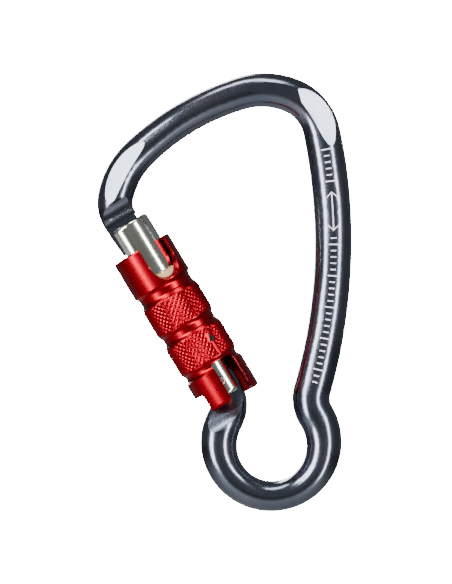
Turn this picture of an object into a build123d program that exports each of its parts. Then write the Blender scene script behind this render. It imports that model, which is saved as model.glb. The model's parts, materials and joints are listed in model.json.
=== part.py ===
from build123d import *
import math
import os

# Locking carabiner with a pear-shaped body, a captive eye and a red locking sleeve.
# Millimetres. The body lies in the XZ plane, +Z runs up the load line, the front faces -Y.
# The origin is where a rope or sling rests inside the wide top of the body.

# --- overall layout -------------------------------------------------------------------
LOAD_LENGTH = 100.4          # captive eye centre up to the rope seat
HINGE_X = -16.87             # gate hinge, measured from the eye centre
HINGE_UP = 18.47
GATE_ANGLE = 124.0           # direction of the closed gate from +X, degrees

# --- the bar's centre line, from the nose round to the heel ----------------------------
NOSE_START = 47.2            # tongue tip, up the gate axis from the hinge
NOSE_OFFSET = -0.8           # sideways from the gate axis
NOSE_STRAIGHT = 10.7
# each bend: radius, turn in degrees (clockwise positive), bar width where the bend ends
BENDS = (
    (9.4, 42.5, 10.9),       # nose shoulder
    (25.0, 34.0, 10.4),      # top corner over the gate
    (75.0, 27.75, 10.1),     # long shallow top
    (23.4, 38.5, 10.6),      # crown, first half
    (15.1, 56.5, 11.2),      # crown, second half
    (161.5, 14.0, 11.2),     # upper spine
    (161.5, 14.0, 11.4),     # lower spine
    (10.0, -48.0, 11.3),     # waist between spine and eye
    (15.95, 120.0, 9.2),     # eye, down its right side
    (15.95, 120.25, 11.3),   # eye, up its left side
    (9.4, -59.5, 10.6),      # heel, back towards the hinge
)
NOSE_WIDTH = 10.6
BAR_DEPTH = 10.8
SECTION_FULLNESS = 0.575     # 0.552 is a true ellipse, larger is squarer
HEEL_STRAIGHT = 3.2

# --- flats pressed on both faces of the bar ---------------------------------------------
# each flat: x, height above the eye centre, facing and lean in degrees, depth from the middle
CROWN_FLAT = (7.4, 98.6, 35.0, 20.0, 4.93)
TOP_FLAT = (-3.0, 106.8, 80.0, 7.0, 5.1)
SHOULDER_FLAT = (-49.4, 77.9, 154.0, 15.0, 5.0)

# --- nose -------------------------------------------------------------------------------
WEB_HALF = 2.3               # half thickness of the tongue
KEY_HALF = 3.3               # half thickness of its key-shaped tip
KEY_TOP = 51.0
TONGUE_TIP_ROUND = 0.7
TONGUE_OUT = -6.3            # outer edge of the tongue at its root
TONGUE_TIP_OUT = -5.4        # and at its tip
TONGUE_IN = 4.0              # inner edge of the tongue
TONGUE_REACH = 47.65         # the tip is rounded about the hinge, to swing clear of the sleeve
SCALLOP_START = 56.3         # where the tongue's face curls up into the bar
SCALLOP_RIDGE = (59.6, 3.4)  # ridge between the two scoops: height, distance from the middle
SCALLOP_END = (63.5, 5.7)

# --- hinge tang -------------------------------------------------------------------------
TANG_HALF = 3.1
TANG_RADIUS = 4.6
CAM_RISE = 1.2               # mm of plunger travel per radian of gate swing
RIVET_RADIUS = 1.4
FLAT_FOOT = -5.0             # the flats end here and curve out
RUN_OUT = (-12.6, 5.4)       # height on the gate axis, distance from the middle plane

# --- gate -------------------------------------------------------------------------------
HEAD_RADIUS = 7.0
HEAD_TOP = 55.5
HEAD_FOOT = 37.4
HEAD_FLAT = -4.6             # outer side of the head is cut flat here
SHAFT_RADIUS = 5.1
EAR_FOOT = -4.7
EAR_SLOT_TOP = 6.6
GATE_BORE = 2.3
GATE_BORE_TOP = 26.0

# --- sleeve -----------------------------------------------------------------------------
SLEEVE_RADIUS = 9.5
SLEEVE_BORE = 7.5
SLEEVE_TOP = 46.65
BAND_RADIUS = 9.2
GROOVE_RADIUS = 8.65
SLEEVE_FOOT = -0.8
FINGER_FOOT = -6.8
WINDOW_AZIMUTH = 26.0        # from the front, towards the inside of the carabiner
TOP_WINDOW = 10.0            # width of the two upper windows
TOP_WINDOW_FOOT = 34.5       # at the middle of the wall
TOP_WINDOW_SLOPE = 37.0
NOTCH_WIDTH = 7.8
NOTCH_TOP = 5.8
FOOT_AZIMUTH = 49.3          # middle of the long half of the foot
FOOT_EDGE = 0.8              # the long half ends this far behind the sleeve's middle
FINGER_ROUND = 1.0
LIP_RADIUS = 6.9
LIP_FOOT = 13.2
LIP_TOP = 14.2
GROOVE_FOR_RING = (5.85, 6.65, 7.9)        # from, to, radius
MARK_AZIMUTH = 29.0
MARK_DEPTH = 0.25

# --- small parts inside the sleeve --------------------------------------------------------
RUNNING_GAP = 0.08
GUIDE_RING = (32.2, 37.3)
BUSH = (6.75, 13.1)
WASHER = (14.3, 14.9)
SLEEVE_SPRING = (15.05, 32.1, 6.3, 0.5, 6)       # from, to, coil radius, wire radius, turns
GATE_SPRING = (12.15, 25.8, 1.6, 0.28, 10)
PLUNGER_RADIUS = 2.2
PLUNGER_TIP = 4.8
PLUNGER_TOP = 12.0
TRACK_PIN = (10.9, 0.9)                    # height on the gate, radius

GATE = Location(
    Plane(
        origin=(HINGE_X, 0, HINGE_UP - LOAD_LENGTH),
        x_dir=(math.sin(math.radians(GATE_ANGLE)), 0, -math.cos(math.radians(GATE_ANGLE))),
        z_dir=(math.cos(math.radians(GATE_ANGLE)), 0, math.sin(math.radians(GATE_ANGLE))),
    )
)
# In the gate's own frame x points into the carabiner, y to the back and z along the gate.
# Outlines drawn on this plane give height on the gate axis, then distance to the front.
SIDE_VIEW = Plane(origin=(-13, 0, 0), x_dir=(0, 0, 1), z_dir=(1, 0, 0))


def gate_point(across, along):
    """Point in the XZ plane from its place across and along the gate axis."""
    a = math.radians(GATE_ANGLE)
    x = HINGE_X + across * math.sin(a) + along * math.cos(a)
    z = HINGE_UP - LOAD_LENGTH - across * math.cos(a) + along * math.sin(a)
    return x, z


def bar_section(x, z, heading, width):
    """Rounded section of the bar, square to its centre line."""
    plane = Plane(
        origin=(x, 0, z),
        x_dir=(0, 1, 0),
        z_dir=(math.cos(heading), 0, math.sin(heading)),
    )
    a = BAR_DEPTH / 2
    b = width / 2
    k = SECTION_FULLNESS
    ring = Wire(
        [
            Bezier((a, 0), (a, k * b), (k * a, b), (0, b)),
            Bezier((0, b), (-k * a, b), (-a, k * b), (-a, 0)),
            Bezier((-a, 0), (-a, -k * b), (-k * a, -b), (0, -b)),
            Bezier((0, -b), (k * a, -b), (a, -k * b), (a, 0)),
        ]
    )
    return plane * Face(ring)


def bar():
    """The bent bar, swept from the tongue's tip round to the hinge."""
    x, z = gate_point(NOSE_OFFSET, NOSE_START)
    heading = math.radians(GATE_ANGLE)
    edges = []
    sections = [bar_section(x, z, heading, NOSE_WIDTH)]
    nx = x + NOSE_STRAIGHT * math.cos(heading)
    nz = z + NOSE_STRAIGHT * math.sin(heading)
    edges.append(Line((x, 0, z), (nx, 0, nz)))
    x, z = nx, nz
    sections.append(bar_section(x, z, heading, NOSE_WIDTH))
    for radius, turn, width in BENDS:
        side = math.copysign(1.0, turn)
        cx = x + side * radius * math.sin(heading)
        cz = z - side * radius * math.cos(heading)
        points = []
        for part in (0.5, 1.0):
            h = heading - math.radians(turn) * part
            points.append((cx - side * radius * math.sin(h), 0, cz + side * radius * math.cos(h)))
        edges.append(ThreePointArc((x, 0, z), points[0], points[1]))
        heading -= math.radians(turn)
        x, z = points[1][0], points[1][2]
        sections.append(bar_section(x, z, heading, width))
    nx = x + HEEL_STRAIGHT * math.cos(heading)
    nz = z + HEEL_STRAIGHT * math.sin(heading)
    edges.append(Line((x, 0, z), (nx, 0, nz)))
    sections.append(bar_section(nx, nz, heading, 10.0))
    return sweep(sections=sections, path=Wire(edges), multisection=True)


def slab(x_range, y_range, z_range):
    """Box between two corners, in the gate's own frame."""
    size = [r[1] - r[0] for r in (x_range, y_range, z_range)]
    middle = [(r[1] + r[0]) / 2 for r in (x_range, y_range, z_range)]
    return Pos(*middle) * Box(*size)


def tube(outer, inner, low, high):
    """Ring around the gate axis."""
    ring = Pos(0, 0, low) * extrude(Circle(outer), amount=high - low)
    return ring - Pos(0, 0, low - 1) * extrude(Circle(inner), amount=high - low + 2)


def rod(radius, low, high):
    """Round rod on the gate axis."""
    return Pos(0, 0, low) * extrude(Circle(radius), amount=high - low)


def cross_rod(radius, front, back, height):
    """Round rod from front to back through the gate axis."""
    return Pos(0, front, height) * Rot(-90, 0, 0) * extrude(Circle(radius), amount=back - front)


def pressed_flat(place):
    """Cutter for one flat on the front face."""
    x, height, facing, lean, depth = place
    f = math.radians(facing)
    t = math.radians(lean)
    normal = Vector(math.sin(t) * math.cos(f), -math.cos(t), math.sin(t) * math.sin(f))
    centre = Vector(x, 0, height - LOAD_LENGTH) + normal * depth
    plane = Plane(origin=centre, z_dir=normal)
    return plane * Pos(0, 0, 2.5) * Box(60, 60, 5)


def both_faces(cutter):
    """The cutter and its mirror image on the other face."""
    return cutter, mirror(cutter, about=Plane.XZ)


def nose_cutter():
    """Removes one face of the bar down to the key-tipped tongue, with two scooped steps."""
    ridge = SCALLOP_RIDGE
    end = SCALLOP_END
    outline = Wire(
        [
            Line((44, 12), (44, KEY_HALF)),
            Line((44, KEY_HALF), (KEY_TOP, KEY_HALF)),
            Line((KEY_TOP, KEY_HALF), (KEY_TOP, WEB_HALF)),
            Line((KEY_TOP, WEB_HALF), (SCALLOP_START, WEB_HALF)),
            ThreePointArc((SCALLOP_START, WEB_HALF), (58.2, 2.55), ridge),
            ThreePointArc(ridge, (62.0, 4.2), end),
            Line(end, (end[0], 12)),
            Line((end[0], 12), (44, 12)),
        ]
    )
    return extrude(SIDE_VIEW * Face(outline), amount=24, dir=(1, 0, 0))


def tongue_trim():
    """Squares the tongue's two edges and shapes its tip."""
    low = NOSE_START
    high = SCALLOP_START + 0.6
    corners = [(TONGUE_TIP_OUT, low), (TONGUE_IN, low), (TONGUE_IN, high), (TONGUE_OUT, high)]
    keep = make_face(Polyline(*corners, close=True)) - Circle(TONGUE_REACH)
    keep = fillet(keep.vertices().sort_by(Axis.Y)[:2], TONGUE_TIP_ROUND)
    block = Pos(-2, (low + high) / 2 - 1) * Rectangle(18, high - low + 2)
    plane = Plane(origin=(0, 9, 0), x_dir=(1, 0, 0), z_dir=(0, -1, 0))
    return extrude(plane * (block - keep), amount=18, dir=(0, -1, 0))


def tang():
    """Eye of the hinge, with a rising cam for the plunger."""
    fade_from = math.radians(30)
    fade_to = math.radians(60)
    points = []
    for step in range(0, 18):
        turn = math.radians(5 * step)
        rise = CAM_RISE * min(turn, fade_from)
        fade = min(max((turn - fade_from) / (fade_to - fade_from), 0.0), 1.0)
        rise *= 0.5 + 0.5 * math.cos(math.pi * fade)
        radius = TANG_RADIUS + rise
        points.append((radius * math.sin(turn), radius * math.cos(turn)))
    points.append((TANG_RADIUS, 0))
    r = TANG_RADIUS
    s = r * math.sqrt(0.5)
    outline = Wire(
        [
            Spline(*points),
            Line((r, 0), (r, -3)),
            Line((r, -3), (-r, -3)),
            Line((-r, -3), (-r, 0)),
            ThreePointArc((-r, 0), (-s, s), (0, r)),
        ]
    )
    plane = Plane(origin=(0, TANG_HALF, 0), x_dir=(1, 0, 0), z_dir=(0, -1, 0))
    return extrude(plane * Face(outline), amount=2 * TANG_HALF, dir=(0, -1, 0))


def heel_cutter():
    """Mills one face of the heel flat, with a long curved run-out into the bar."""
    outline = Wire(
        [
            Line((9, 12), (9, TANG_HALF)),
            Line((9, TANG_HALF), (FLAT_FOOT, TANG_HALF)),
            ThreePointArc((FLAT_FOOT, TANG_HALF), (FLAT_FOOT - 4.0, TANG_HALF + 0.6), RUN_OUT),
            Line(RUN_OUT, (RUN_OUT[0], 12)),
            Line((RUN_OUT[0], 12), (9, 12)),
        ]
    )
    return extrude(SIDE_VIEW * Face(outline), amount=24, dir=(1, 0, 0))


def frame_body():
    """Bar, nose and hinge tang in one forged piece."""
    body = bar()
    for place in (CROWN_FLAT, TOP_FLAT, SHOULDER_FLAT):
        for cutter in both_faces(pressed_flat(place)):
            body -= cutter
    for cutter in both_faces(nose_cutter()):
        body -= GATE * cutter
    body -= GATE * tongue_trim()
    body -= GATE * slab((-9, 9), (-9, 9), (0, 9))
    for cutter in both_faces(heel_cutter()):
        body -= GATE * cutter
    body += GATE * tang()
    return body - GATE * cross_rod(RIVET_RADIUS + 0.05, -9, 9, 0)


def gate_barrel():
    """Barrel of the gate, forked over the nose and over the hinge tang."""
    head = rod(HEAD_RADIUS, HEAD_FOOT, HEAD_TOP)
    head = chamfer(head.edges().group_by(Axis.Z)[0], 0.3)
    head -= slab((-9, HEAD_FLAT), (-9, 9), (45.6, 60))
    head = fillet(head.edges().group_by(Axis.Z)[-1], 1.2)
    inner = TONGUE_IN + 0.3
    foot = NOSE_START - 0.4
    head -= slab((-9, inner), (-WEB_HALF - 0.3, WEB_HALF + 0.3), (foot, 60))
    head -= slab((-9, inner), (-KEY_HALF - 0.3, KEY_HALF + 0.3), (foot, KEY_TOP + 0.35))
    shaft = rod(SHAFT_RADIUS, EAR_FOOT, HEAD_FOOT + 1)
    shaft = fillet(shaft.edges().group_by(Axis.Z)[0], 1.1)
    slot = TANG_HALF + 0.25
    shaft -= slab((-9, 9), (-slot, slot), (-9, EAR_SLOT_TOP))
    shaft -= rod(GATE_BORE, EAR_SLOT_TOP - 1, GATE_BORE_TOP)
    shaft -= cross_rod(RIVET_RADIUS + 0.01, -9, 9, 0)
    shaft -= cross_rod(TRACK_PIN[1] + 0.01, 3.0, 9, TRACK_PIN[0])
    return head + shaft


def hinge_rivet():
    """Rivet through the gate's two ears and the tang."""
    reach = 5.05
    pin = cross_rod(RIVET_RADIUS, -reach, reach, 0)
    return fillet(pin.edges(), 0.3)


def gate_plunger():
    """Round-nosed plunger that presses on the tang's cam."""
    r = PLUNGER_RADIUS
    nose = Pos(0, 0, PLUNGER_TIP + r) * Sphere(r)
    pin = nose - slab((-9, 9), (-9, 9), (PLUNGER_TIP + r, 20))
    pin += rod(r, PLUNGER_TIP + r, PLUNGER_TOP)
    return pin + rod(1.0, PLUNGER_TOP - 1, PLUNGER_TOP + 3)


def coil(place):
    """Round-wire coil spring around the gate axis."""
    low, high, radius, wire, turns = place
    length = high - low - 2 * wire
    path = Helix(pitch=length / turns, height=length, radius=radius)
    start = path @ 0
    section = Plane(origin=start, z_dir=path % 0) * Circle(wire)
    return Pos(0, 0, low + wire) * sweep(section, path=path, is_frenet=True)


def guide_ring():
    """Plastic ring that guides the sleeve at the head of the gate."""
    ring = tube(SLEEVE_BORE - RUNNING_GAP, SHAFT_RADIUS + 0.05, *GUIDE_RING)
    return chamfer(ring.edges().group_by(Axis.Z)[-1].sort_by(Edge.length)[-1:], 0.25)


def lift_bush():
    """Bush that slides on the barrel and carries the turning sleeve."""
    ring = tube(SLEEVE_BORE - RUNNING_GAP, SHAFT_RADIUS + 0.05, *BUSH)
    height, radius = TRACK_PIN
    width = radius + 0.1
    ring -= slab((-width, width), (4, 6.95), (0, height))
    return ring - cross_rod(width, 4, 6.95, height)


def track_pin():
    """Pin in the back of the barrel that keys the bush."""
    return cross_rod(TRACK_PIN[1], 3.05, 6.8, TRACK_PIN[0])


def spring_washer():
    """Washer between the sleeve's lip and its spring."""
    return tube(7.3, SHAFT_RADIUS + 0.2, *WASHER)


def retaining_ring():
    """Open snap ring under the bush."""
    low, high, radius = GROOVE_FOR_RING
    ring = tube(radius - 0.05, 6.75, low + 0.05, high - 0.05)
    return ring - slab((-1.1, 1.1), (0, 12), (0, 12))


def sleeve_blank():
    """Turned sleeve before its windows are cut."""
    r = SLEEVE_RADIUS
    top = SLEEVE_TOP
    foot = FINGER_FOOT
    b = BAND_RADIUS
    profile = [(r, top), (r, 34.3), (GROOVE_RADIUS, 33.3), (GROOVE_RADIUS, 31.0), (b, 30.0)]
    profile += [(b, 20.4), (GROOVE_RADIUS, 19.5), (GROOVE_RADIUS, 17.5), (b, 16.6)]
    profile += [(b, 6.9), (GROOVE_RADIUS, 6.1), (GROOVE_RADIUS, 4.8), (r, 4.0), (r, foot)]
    low, high, cut = GROOVE_FOR_RING
    bore = [(SLEEVE_BORE, foot), (SLEEVE_BORE, low), (cut, low), (cut, high)]
    bore += [(SLEEVE_BORE, high), (SLEEVE_BORE, LIP_FOOT), (LIP_RADIUS, LIP_FOOT)]
    bore += [(LIP_RADIUS, LIP_TOP), (SLEEVE_BORE, LIP_TOP), (SLEEVE_BORE, top)]
    face = Plane.XZ * make_face(Polyline(*profile, *bore, close=True))
    blank = revolve(face, axis=Axis.Z)
    rims = blank.edges().filter_by(GeomType.CIRCLE)
    outer = [e for e in rims if abs(e.radius - r) < 0.01]
    blank = fillet([e for e in outer if abs(e.center().Z - top) < 0.01], 0.5)
    rims = blank.edges().filter_by(GeomType.CIRCLE)
    outer = [e for e in rims if abs(e.radius - r) < 0.01]
    blank = fillet([e for e in outer if abs(e.center().Z - foot) < 0.01], 1.2)
    rims = blank.edges().filter_by(GeomType.CIRCLE)
    waists = [e for e in rims if abs(e.radius - GROOVE_RADIUS) < 0.01]
    return fillet(waists, 0.9)


def top_window(turn):
    """Cutter for one upper window, its foot sloping down and outwards."""
    half = TOP_WINDOW / 2
    middle = TOP_WINDOW_FOOT + half / math.cos(math.radians(TOP_WINDOW_SLOPE))
    wall = (SLEEVE_RADIUS + SLEEVE_BORE) / 2
    box = slab((-half, half), (-14, -4), (middle, 60))
    round_end = Pos(0, -wall, middle) * Rot(90 + TOP_WINDOW_SLOPE, 0, 0) * Cylinder(half, 9)
    return Rot(0, 0, turn) * (box + round_end)


def foot_cutter():
    """Shortens half of the sleeve's foot, with rounded corners where the long half starts."""
    r = FINGER_ROUND
    c = r * (1 - math.sqrt(0.5))
    step = FOOT_EDGE
    foot = FINGER_FOOT
    top = SLEEVE_FOOT
    outline = Wire(
        [
            Line((14, top), (step + r, top)),
            ThreePointArc((step + r, top), (step + c, top - c), (step, top - r)),
            Line((step, top - r), (step, foot + r)),
            ThreePointArc((step, foot + r), (step - c, foot + c), (step - r, foot)),
            Line((step - r, foot), (step - r, foot - 4)),
            Line((step - r, foot - 4), (14, foot - 4)),
            Line((14, foot - 4), (14, top)),
        ]
    )
    plane = Plane(origin=(-12, 0, 0), x_dir=(0, 1, 0), z_dir=(1, 0, 0))
    return extrude(plane * Face(outline), amount=24, dir=(1, 0, 0))


def notch_cutter():
    """Slot between the two fingers, flared at their tips and rounded at its top."""
    r = FINGER_ROUND
    half = NOTCH_WIDTH / 2
    foot = FINGER_FOOT
    corners = [(-half, foot + r), (-half, NOTCH_TOP), (half, NOTCH_TOP), (half, foot + r)]
    corners += [(half + r, foot), (half + r, foot - 4), (-half - r, foot - 4), (-half - r, foot)]
    face = make_face(Polyline(*corners, close=True))
    upper = face.vertices().sort_by(Axis.Y)[-2:]
    face = fillet(upper, 1.0)
    plane = Plane(origin=(0, -14, 0), x_dir=(1, 0, 0), z_dir=(0, -1, 0))
    return extrude(plane * face, amount=14, dir=(0, 1, 0))


def mark_cutter():
    """Shallow arrow that shows which way the sleeve lifts."""
    tip = Polyline((-0.85, 12.0), (0.85, 12.0), (0, 14.0), close=True)
    stem = Pos(0.25, 10.4) * Rot(0, 0, 9) * Rectangle(0.5, 3.4)
    plane = Plane(origin=(0, -12, 0), x_dir=(1, 0, 0), z_dir=(0, -1, 0))
    depth = 12 - BAND_RADIUS + MARK_DEPTH
    return extrude(plane * (make_face(tip) + stem), amount=depth, dir=(0, 1, 0))


def sleeve():
    """Red locking sleeve with two upper windows and a foot notch between two fingers."""
    body = sleeve_blank()
    for turn in (0, 180):
        body -= top_window(WINDOW_AZIMUTH + turn)
    body -= Rot(0, 0, FOOT_AZIMUTH) * foot_cutter()
    body -= Rot(0, 0, WINDOW_AZIMUTH) * notch_cutter()
    return body - Rot(0, 0, MARK_AZIMUTH) * mark_cutter()


def on_gate(shape):
    """Moves a part from the gate's own frame to its place on the carabiner."""
    return GATE * shape


def save(name, shape):
    """Writes one piece as a STEP file."""
    export_step(shape, os.path.join("parts", name + ".step"))


os.makedirs("parts", exist_ok=True)
save("frame_body", frame_body())
save("gate_barrel", on_gate(gate_barrel()))
save("hinge_rivet", on_gate(hinge_rivet()))
save("gate_plunger", on_gate(gate_plunger()))
save("gate_spring", on_gate(coil(GATE_SPRING)))
save("guide_ring", on_gate(guide_ring()))
save("track_pin", on_gate(track_pin()))
save("sleeve_spring", on_gate(coil(SLEEVE_SPRING)))
save("lift_bush", on_gate(lift_bush()))
save("spring_washer", on_gate(spring_washer()))
save("sleeve", on_gate(sleeve()))
save("retaining_ring", on_gate(retaining_ring()))
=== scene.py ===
import bpy
import json
import math
from mathutils import Matrix, Vector
from mathutils.bvhtree import BVHTree


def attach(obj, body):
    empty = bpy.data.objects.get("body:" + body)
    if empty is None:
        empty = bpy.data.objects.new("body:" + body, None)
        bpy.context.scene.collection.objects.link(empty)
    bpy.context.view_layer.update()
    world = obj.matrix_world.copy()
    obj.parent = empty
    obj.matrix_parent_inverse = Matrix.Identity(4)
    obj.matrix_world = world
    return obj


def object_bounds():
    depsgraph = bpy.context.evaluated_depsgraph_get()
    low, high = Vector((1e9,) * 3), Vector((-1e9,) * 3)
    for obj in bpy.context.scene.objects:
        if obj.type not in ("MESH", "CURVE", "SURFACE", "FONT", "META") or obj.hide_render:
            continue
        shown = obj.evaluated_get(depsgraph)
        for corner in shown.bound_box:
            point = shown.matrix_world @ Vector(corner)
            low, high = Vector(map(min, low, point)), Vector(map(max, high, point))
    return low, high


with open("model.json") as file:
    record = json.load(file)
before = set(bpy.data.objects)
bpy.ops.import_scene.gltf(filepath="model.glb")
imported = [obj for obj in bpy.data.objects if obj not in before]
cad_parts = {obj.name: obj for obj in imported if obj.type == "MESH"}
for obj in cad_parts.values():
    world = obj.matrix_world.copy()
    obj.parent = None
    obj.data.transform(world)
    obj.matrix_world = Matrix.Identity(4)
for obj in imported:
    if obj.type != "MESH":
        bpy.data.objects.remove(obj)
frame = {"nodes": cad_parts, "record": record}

CAD_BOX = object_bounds()
CENTRE = (CAD_BOX[0] + CAD_BOX[1]) / 2
NODES = frame["nodes"]
JOINTS = {j["name"]: j for j in frame["record"]["behaviour"]["joints"]}
MM = 0.001

# The gate's own frame: x points into the carabiner, y to the back and z up the gate.
HINGE = Vector(JOINTS["gate_hinge"]["pos_m"])
UP_GATE = Vector(JOINTS["sleeve_twist"]["axis"]).normalized()
INWARD = Vector((UP_GATE.z, 0.0, -UP_GATE.x))
BACK = Vector((0.0, 1.0, 0.0))
GATE_FRAME = Matrix((
    (INWARD.x, BACK.x, UP_GATE.x, HINGE.x),
    (INWARD.y, BACK.y, UP_GATE.y, HINGE.y),
    (INWARD.z, BACK.z, UP_GATE.z, HINGE.z),
    (0.0, 0.0, 0.0, 1.0),
))

# --- sleeve and gate, millimetres in the gate's own frame --------------------------------
BAND = 9.2                   # radius of the two collars under the knurling
KNURL_BASE = 9.22            # radius at the foot of the diamonds
KNURL_PEAK = 9.52            # radius at their tips
KNURLS_AROUND = 36
KNURL_BLUNT = 1.15           # over 1, the tips of the diamonds are cut flat
KNURL_STEPS = 8              # mesh steps across one diamond
KNURL_FADE = 0.5             # the diamonds run out over this length at both ends of a band
UPPER_BAND = (20.6, 29.8)
LOWER_BAND = (7.1, 16.4)
SHELL_DEPTH = 0.1            # the knurled shells are closed this far inside the band
MARK_TURN = 29.0             # the engraved arrow, degrees round from the front
MARK_REACH = (7.9, 14.6)     # the knurling leaves this stretch free for the arrow
MARK_STEM_TOP = 11.6
MARK_STEM_HALF = 0.75
MARK_HEAD_HALF = 1.25
INLAY_OUTLINE = ((-1.05, 11.8), (1.05, 11.8), (0.0, 14.3))
INLAY_RADII = (BAND - 0.2, KNURL_PEAK - 0.05)
BARREL = 5.1                 # radius of the gate's barrel at the hinge
SEAM = (1.36, 1.56)          # inner and outer radius of the line round the rivet's head
SEAM_REACH = (BARREL - 0.1, BARREL + 0.012)
SEAM_STEPS = 40

# --- etched marks on the spine, metres -----------------------------------------------------
MARKS_TOP = -10.5 * MM       # height of the first mark
MARKS_FOOT = -81.5 * MM
MARK_PITCH = 1.9 * MM
LONG_MARK = 1.5 * MM         # half lengths across the spine
SHORT_MARK = 0.85 * MM
MARKS_PER_LONG = 5
HALF_LINE = 0.2 * MM
ARROW_MIDDLE = -29.0 * MM
ARROW_HALF = 6.0 * MM
ARROW_CLEAR = 1.6 * MM       # free space between the double arrow and the marks
STEM_PARTS = 8
STEM_HALF = 0.66 * MM        # half length of one part of the stem
BARB = 0.8 * MM
BARB_OUT = 0.75 * MM         # middle of a barb, sideways from the stem
MARK_RISE = 0.025 * MM
MARK_DEPTH = 0.06 * MM
MARK_STEPS = 6

# --- where the rays start that find the body's surface, metres ---------------------------
IN_OPENING = HINGE.x + 12 * MM
BEYOND_SPINE = CAD_BOX[1].x + 180 * MM
IN_FRONT = CAD_BOX[0].y - 40 * MM


# ---------------------------------------------------------------- materials

def new_material(name):
    """A node material with its principled shader and output."""
    mat = bpy.data.materials.new(name)
    mat.use_nodes = True
    tree = mat.node_tree
    tree.nodes.clear()
    out = tree.nodes.new("ShaderNodeOutputMaterial")
    shader = tree.nodes.new("ShaderNodeBsdfPrincipled")
    tree.links.new(shader.outputs["BSDF"], out.inputs["Surface"])
    return mat, tree, shader


DRIFT = (90, 3)              # noise scale in features per metre, and detail
WAVES = (70, 0)
POLISH = 0.004 * MM          # height of the grain on polished metal
GRAIN = 0.02 * MM            # and on everything else


def noise(tree, scale, detail, stretch=(1, 1, 1)):
    """Noise in object space, in features per metre, stretched along the axes."""
    coord = tree.nodes.new("ShaderNodeTexCoord")
    mapping = tree.nodes.new("ShaderNodeMapping")
    mapping.inputs["Scale"].default_value = stretch
    node = tree.nodes.new("ShaderNodeTexNoise")
    node.inputs["Scale"].default_value = scale
    node.inputs["Detail"].default_value = detail
    tree.links.new(coord.outputs["Object"], mapping.inputs["Vector"])
    tree.links.new(mapping.outputs["Vector"], node.inputs["Vector"])
    return node.outputs["Fac"]


def blend(tree, source, low, high):
    """Colour ramp between two (place, colour) stops."""
    node = tree.nodes.new("ShaderNodeValToRGB")
    for element, (place, colour) in zip(node.color_ramp.elements, (low, high)):
        element.position = place
        element.color = (*colour, 1)
    tree.links.new(source, node.inputs["Fac"])
    return node.outputs["Color"]


def spread(tree, source, low, high):
    """Maps 0.3..0.7 of a noise to a range of values."""
    node = tree.nodes.new("ShaderNodeMapRange")
    node.inputs["From Min"].default_value = 0.3
    node.inputs["From Max"].default_value = 0.7
    node.inputs["To Min"].default_value = low
    node.inputs["To Max"].default_value = high
    tree.links.new(source, node.inputs["Value"])
    return node.outputs["Result"]


def bump(tree, shader, source, strength, height, under=None):
    """Bump from a noise, its height in metres, on top of the bump given as under."""
    node = tree.nodes.new("ShaderNodeBump")
    node.inputs["Strength"].default_value = strength
    node.inputs["Distance"].default_value = height
    tree.links.new(source, node.inputs["Height"])
    if under is not None:
        tree.links.new(under.outputs["Normal"], node.inputs["Normal"])
    tree.links.new(node.outputs["Normal"], shader.inputs["Normal"])
    return node


def worn_metal(name, colours, rough, grain, metallic=1.0, stretch=(1, 1, 1), height=GRAIN,
               relief=0.25, specular=0.5, waves=0.0):
    """Metal with slow colour drift, slow waves, fine grain in its roughness and a shallow bump."""
    mat, tree, shader = new_material(name)
    drift = noise(tree, *DRIFT)
    base = blend(tree, drift, (0.35, colours[0]), (0.65, colours[1]))
    tree.links.new(base, shader.inputs["Base Color"])
    fine = noise(tree, grain, 6, stretch)
    tree.links.new(spread(tree, fine, *rough), shader.inputs["Roughness"])
    shader.inputs["Metallic"].default_value = metallic
    shader.inputs["Specular IOR Level"].default_value = specular
    slow = bump(tree, shader, noise(tree, *WAVES), 1.0, waves)
    bump(tree, shader, fine, relief, height, slow)
    return mat


def moulded(name, colours):
    """Moulded plastic with a soft sheen."""
    mat, tree, shader = new_material(name)
    drift = noise(tree, 300, 4)
    base = blend(tree, drift, (0.3, colours[0]), (0.7, colours[1]))
    tree.links.new(base, shader.inputs["Base Color"])
    fine = noise(tree, 3500, 5)
    tree.links.new(spread(tree, fine, 0.38, 0.5), shader.inputs["Roughness"])
    shader.inputs["Subsurface Weight"].default_value = 0.1
    shader.inputs["Subsurface Radius"].default_value = (0.002, 0.0012, 0.0006)
    bump(tree, shader, fine, 0.2, GRAIN)
    return mat


BODY = worn_metal("anodised_blue_grey", ((0.112, 0.130, 0.170), (0.150, 0.152, 0.192)), (0.17, 0.21), 1500,
                  height=POLISH, relief=0.1, waves=0.7 * MM)
GATE = worn_metal("polished_silver", ((0.60, 0.60, 0.51), (0.70, 0.70, 0.62)), (0.11, 0.16), 900,
                  stretch=(1, 1, 6), height=POLISH, relief=0.1)
SLEEVE = worn_metal("anodised_red", ((0.27, 0.0, 0.008), (0.33, 0.0, 0.010)), (0.27, 0.31), 2200,
                    height=POLISH, relief=0.06)
INLAY = worn_metal("dark_inlay", ((0.006, 0.005, 0.005), (0.012, 0.010, 0.009)), (0.6, 0.75), 2600,
                   metallic=0.0, specular=0.1)
STEEL = worn_metal("turned_steel", ((0.50, 0.50, 0.49), (0.60, 0.60, 0.58)), (0.22, 0.34), 1800)
WIRE = worn_metal("spring_wire", ((0.36, 0.36, 0.37), (0.44, 0.44, 0.45)), (0.28, 0.4), 2400)
ETCHED = worn_metal("etched_grey", ((0.50, 0.53, 0.58), (0.64, 0.67, 0.72)), (0.5, 0.62), 3000,
                    metallic=0.1)
BEIGE = moulded("beige_plastic", ((0.42, 0.25, 0.12), (0.50, 0.32, 0.17)))
BLACK = moulded("black_plastic", ((0.02, 0.02, 0.022), (0.03, 0.03, 0.032)))

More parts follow.
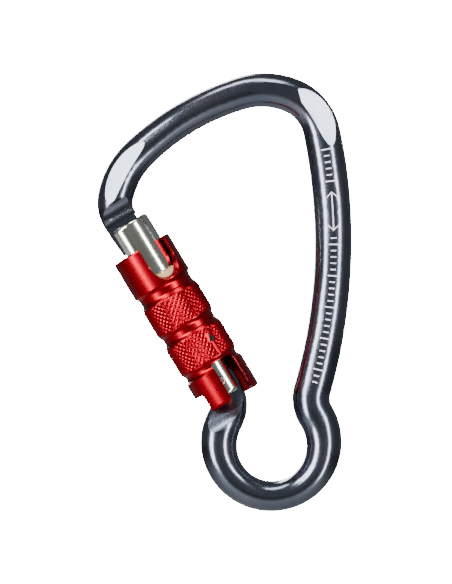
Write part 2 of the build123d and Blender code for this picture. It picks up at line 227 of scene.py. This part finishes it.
LOOKS = {
    "frame_body": BODY,
    "gate_barrel": GATE,
    "hinge_rivet": STEEL,
    "gate_plunger": STEEL,
    "gate_spring": WIRE,
    "guide_ring": BEIGE,
    "track_pin": STEEL,
    "sleeve_spring": WIRE,
    "lift_bush": BLACK,
    "spring_washer": STEEL,
    "sleeve": SLEEVE,
    "retaining_ring": WIRE,
}


def dress_cad():
    """Gives every CAD node its material."""
    for name, look in LOOKS.items():
        mesh = NODES[name].data
        mesh.materials.clear()
        mesh.materials.append(look)


dress_cad()


# ---------------------------------------------------------------- meshes

def mesh_object(name, verts, faces, look, body, smooth=False):
    """New piece that rides on a body and takes one of its material slots."""
    mesh = bpy.data.meshes.new(name)
    mesh.from_pydata(verts, [], faces)
    mesh.validate()
    for poly in mesh.polygons:
        poly.use_smooth = smooth
    mesh.materials.append(look)
    obj = bpy.data.objects.new(name, mesh)
    bpy.context.scene.collection.objects.link(obj)
    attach(obj, body)


def gate_place(across, back, along):
    """World point from millimetres in the gate's own frame."""
    return GATE_FRAME @ (Vector((across, back, along)) * MM)


def round_gate(radius, turn, along):
    """World point on a cylinder round the gate; turn is from the front, in radians."""
    return gate_place(radius * math.sin(turn), -radius * math.cos(turn), along)


# ---------------------------------------------------------------- knurling

def ridge(place):
    """Saw-tooth ridge, 0 in the grooves and 1 on the crests, one crest per unit."""
    return 1 - abs(2 * (place - math.floor(place)) - 1)


def over_mark(turn, along):
    """True over the engraved arrow; turn in radians, along in mm."""
    low, high = MARK_REACH
    if not low < along < high:
        return False
    half = MARK_STEM_HALF if along < MARK_STEM_TOP else MARK_HEAD_HALF
    off = (math.degrees(turn) - MARK_TURN + 180) % 360 - 180
    return abs(math.radians(off) * BAND) < half


def knurl_radius(turn, along, low, high, pitch):
    """Radius of the knurled surface at one place of a band from low to high."""
    if over_mark(turn, along):
        return BAND - SHELL_DEPTH
    around = turn * KNURL_BASE
    fade = max(0.0, min(1.0, (along - low) / KNURL_FADE, (high - along) / KNURL_FADE))
    crest = min(ridge((around + along) / pitch), ridge((around - along) / pitch))
    rise = min(1.0, KNURL_BLUNT * crest) * fade
    return KNURL_BASE + (KNURL_PEAK - KNURL_BASE) * rise


def knurl(name, low, high):
    """Diamond-knurled shell over one band of the sleeve, closed by a wall inside the band."""
    columns = KNURLS_AROUND * KNURL_STEPS
    pitch = 2 * math.pi * KNURL_BASE / KNURLS_AROUND
    rows = int(round((high - low) / pitch * KNURL_STEPS))
    heights = [low + (high - low) * r / rows for r in range(rows + 1)]
    rings = [(True, low)] + [(False, h) for h in heights] + [(True, high)]
    verts = []
    for inside, along in rings:
        for c in range(columns):
            turn = 2 * math.pi * c / columns
            radius = BAND - SHELL_DEPTH if inside else knurl_radius(turn, along, low, high, pitch)
            verts.append(round_gate(radius, turn, along))
    faces = []
    for r in range(len(rings)):
        s = (r + 1) % len(rings)
        for c in range(columns):
            d = (c + 1) % columns
            faces.append((r * columns + c, r * columns + d, s * columns + d, s * columns + c))
    mesh_object(name, verts, faces, SLEEVE, "sleeve")


knurl("knurl_upper", *UPPER_BAND)
knurl("knurl_lower", *LOWER_BAND)


# ---------------------------------------------------------------- arrow filling and rivet seam

def arrow_inlay():
    """Dark filling in the head of the engraved arrow, raised to the peaks of the knurling."""
    verts = []
    for radius in INLAY_RADII:
        for across, along in INLAY_OUTLINE:
            verts.append(round_gate(radius, math.radians(MARK_TURN) + across / BAND, along))
    faces = [(0, 2, 1), (3, 4, 5), (0, 1, 4, 3), (1, 2, 5, 4), (2, 0, 3, 5)]
    mesh_object("arrow_inlay", verts, faces, INLAY, "sleeve")


def rivet_seam():
    """Dark line round the front head of the hinge rivet, on the round of the barrel."""
    verts = []
    for reach in SEAM_REACH:
        for radius in SEAM:
            for i in range(SEAM_STEPS):
                turn = 2 * math.pi * i / SEAM_STEPS
                across = radius * math.cos(turn)
                back = -math.sqrt(reach * reach - across * across)
                verts.append(gate_place(across, back, radius * math.sin(turn)))
    faces = []
    for i in range(SEAM_STEPS):
        j = (i + 1) % SEAM_STEPS
        for a, b in ((0, 1), (1, 3), (3, 2), (2, 0)):
            one = a * SEAM_STEPS
            two = b * SEAM_STEPS
            faces.append((one + i, one + j, two + j, two + i))
    mesh_object("rivet_seam", verts, faces, INLAY, "gate", smooth=True)


arrow_inlay()
rivet_seam()


# ---------------------------------------------------------------- etched marks on the spine

def spine_edges(surface, z):
    """Inner and outer x of the spine at one height, from the body's own surface."""
    inner = surface.ray_cast(Vector((IN_OPENING, 0, z)), Vector((1, 0, 0)))[0]
    outer = surface.ray_cast(Vector((BEYOND_SPINE, 0, z)), Vector((-1, 0, 0)))[0]
    return inner.x, outer.x


def on_surface(surface, x, z, rise):
    """Point on the front of the body, raised by rise."""
    point, normal = surface.ray_cast(Vector((x, IN_FRONT, z)), Vector((0, 1, 0)))[:2]
    return point + normal * rise


def etched_patch(surface, corners, verts, faces):
    """Adds a thin plate that follows the body's front, between four corners given as (x, z)."""
    start = len(verts)
    for rise in (MARK_RISE, -MARK_DEPTH):
        for i in range(MARK_STEPS + 1):
            t = i / MARK_STEPS
            for a, b in ((0, 3), (1, 2)):
                x = corners[a][0] * (1 - t) + corners[b][0] * t
                z = corners[a][1] * (1 - t) + corners[b][1] * t
                verts.append(on_surface(surface, x, z, rise))
    under = 2 * (MARK_STEPS + 1)
    for i in range(MARK_STEPS):
        a = start + 2 * i
        faces.append((a, a + 1, a + 3, a + 2))
        faces.append((a + under, a + under + 2, a + under + 3, a + under + 1))
        faces.append((a, a + 2, a + under + 2, a + under))
        faces.append((a + 1, a + under + 1, a + under + 3, a + 3))
    end = start + 2 * MARK_STEPS
    faces.append((start, start + under, start + under + 1, start + 1))
    faces.append((end, end + 1, end + under + 1, end + under))


def spine_bar(surface, z, across, half_along, half_across, skew=0.0):
    """Corners of a bar at height z, across being its distance outwards from the spine's middle."""
    inner, outer = spine_edges(surface, z)
    above = spine_edges(surface, z + MM)
    below = spine_edges(surface, z - MM)
    run = Vector((sum(above) - sum(below), 0, 4 * MM)).normalized()
    out = Vector((run.z, 0, -run.x))
    middle = Vector(((inner + outer) / 2, 0, z)) + out * across
    corners = []
    for a, b in ((-1, -1), (1, -1), (1, 1), (-1, 1)):
        p = middle + run * (a * half_along + b * skew) + out * (b * half_across)
        corners.append((p.x, p.z))
    return corners


def graduated_row(surface):
    """The bars of the graduated row, every fifth one long, clear of the double arrow."""
    bars = []
    z = MARKS_TOP
    count = 0
    while z > MARKS_FOOT:
        if abs(z - ARROW_MIDDLE) > ARROW_HALF + ARROW_CLEAR:
            reach = LONG_MARK if count % MARKS_PER_LONG == 0 else SHORT_MARK
            bars.append(spine_bar(surface, z, 0, HALF_LINE, reach))
        z -= MARK_PITCH
        count += 1
    return bars


def double_arrow(surface):
    """The bars of a double arrow along the spine: its stem in short parts, then four barbs."""
    bars = []
    middle_part = (STEM_PARTS - 1) / 2
    for part in range(STEM_PARTS):
        step = (part - middle_part) * ARROW_HALF / (middle_part + 1)
        bars.append(spine_bar(surface, ARROW_MIDDLE + step, 0, STEM_HALF, HALF_LINE))
    for end in (-1, 1):
        for hand in (-1, 1):
            z = ARROW_MIDDLE + end * (ARROW_HALF - MM)
            bars.append(spine_bar(surface, z, hand * BARB_OUT, HALF_LINE, BARB, -end * hand * BARB))
    return bars


def etched_marks():
    """A plain graduated row and a double arrow down the front of the spine."""
    surface = BVHTree.FromObject(NODES["frame_body"], bpy.context.evaluated_depsgraph_get())
    verts = []
    faces = []
    for corners in graduated_row(surface) + double_arrow(surface):
        etched_patch(surface, corners, verts, faces)
    mesh_object("etched_marks", verts, faces, ETCHED, "frame")


etched_marks()


# ---------------------------------------------------------------- stage

def pale_floor(drop, half):
    """Plain floor below the object, which the camera sees as near white."""
    z = CAD_BOX[0].z - drop
    mesh = bpy.data.meshes.new("floor")
    mesh.from_pydata([(-half, -half, z), (half, -half, z), (half, half, z), (-half, half, z)],
                     [], [(0, 1, 2, 3)])
    look, tree, shader = new_material("pale_floor")
    shader.inputs["Base Color"].default_value = (0.3, 0.3, 0.3, 1)
    shader.inputs["Roughness"].default_value = 0.9
    seen = tree.nodes.new("ShaderNodeLightPath")
    tree.links.new(seen.outputs["Is Camera Ray"], shader.inputs["Emission Strength"])
    shader.inputs["Emission Color"].default_value = (0.8, 0.8, 0.8, 1)
    mesh.materials.append(look)
    floor = bpy.data.objects.new("floor", mesh)
    bpy.context.scene.collection.objects.link(floor)


def softbox(name, azimuth, elevation, distance, size, power):
    """Softbox aimed at the object; azimuth is from the front towards +X, in degrees."""
    a = math.radians(azimuth)
    e = math.radians(elevation)
    way = Vector((math.sin(a) * math.cos(e), -math.cos(a) * math.cos(e), math.sin(e)))
    data = bpy.data.lights.new(name, "AREA")
    data.shape = "RECTANGLE"
    data.size, data.size_y = size
    data.energy = power
    obj = bpy.data.objects.new(name, data)
    obj.location = CENTRE + way * distance
    obj.rotation_mode = "QUATERNION"
    obj.rotation_quaternion = (-way).to_track_quat("-Z", "Y")
    bpy.context.scene.collection.objects.link(obj)


def backdrop(tree, colour, strength):
    """One background shader of the world."""
    node = tree.nodes.new("ShaderNodeBackground")
    node.inputs["Color"].default_value = (*colour, 1)
    node.inputs["Strength"].default_value = strength
    return node.outputs["Background"]


def studio_world():
    """Pure white behind the object, and a dim cool room in its reflections."""
    world = bpy.data.worlds.new("studio")
    bpy.context.scene.world = world
    world.use_nodes = True
    tree = world.node_tree
    tree.nodes.clear()
    out = tree.nodes.new("ShaderNodeOutputWorld")
    mix = tree.nodes.new("ShaderNodeMixShader")
    path = tree.nodes.new("ShaderNodeLightPath")
    tree.links.new(path.outputs["Is Camera Ray"], mix.inputs["Fac"])
    tree.links.new(backdrop(tree, (0.92, 0.95, 1.0), 0.20), mix.inputs[1])
    tree.links.new(backdrop(tree, (1, 1, 1), 40.0), mix.inputs[2])
    tree.links.new(mix.outputs["Shader"], out.inputs["Surface"])


pale_floor(drop=0.5, half=3.5)
softbox("softbox_left", -43, 8, 1.0, (0.28, 1.2), 27)
softbox("softbox_right", 38, 4, 1.0, (0.17, 1.2), 17)
softbox("softbox_over_camera", -28, 14, 1.05, (0.20, 0.22), 4)
softbox("softbox_top", -20, 70, 1.0, (0.6, 0.25), 6)
softbox("softbox_behind", 200, 25, 1.0, (0.3, 0.9), 14)
studio_world()


# ---------------------------------------------------------------- camera

CAMERA_DISTANCE = 1.25       # metres
CAMERA_ROLL = 2.81           # degrees
VIEW_HEIGHT = 0.17697        # metres that the picture takes in at the object, top to bottom
AIM_OFFSET = Vector((1.43, 0, -0.56)) * MM       # aim, from the middle of the object
SENSOR = 36.0                # mm


def place_camera():
    """Camera straight in front of the object."""
    roll = math.radians(CAMERA_ROLL)
    right = Vector((math.cos(roll), 0, math.sin(roll)))
    up = Vector((-math.sin(roll), 0, math.cos(roll)))
    back = right.cross(up)
    eye = CENTRE + AIM_OFFSET + back * CAMERA_DISTANCE
    data = bpy.data.cameras.new("camera")
    data.sensor_fit = "AUTO"
    data.sensor_width = SENSOR
    data.lens = SENSOR * CAMERA_DISTANCE / VIEW_HEIGHT
    data.clip_end = 50
    camera = bpy.data.objects.new("camera", data)
    camera.matrix_world = Matrix((
        (right.x, up.x, back.x, eye.x),
        (right.y, up.y, back.y, eye.y),
        (right.z, up.z, back.z, eye.z),
        (0, 0, 0, 1),
    ))
    bpy.context.scene.collection.objects.link(camera)
    bpy.context.scene.camera = camera


place_camera()
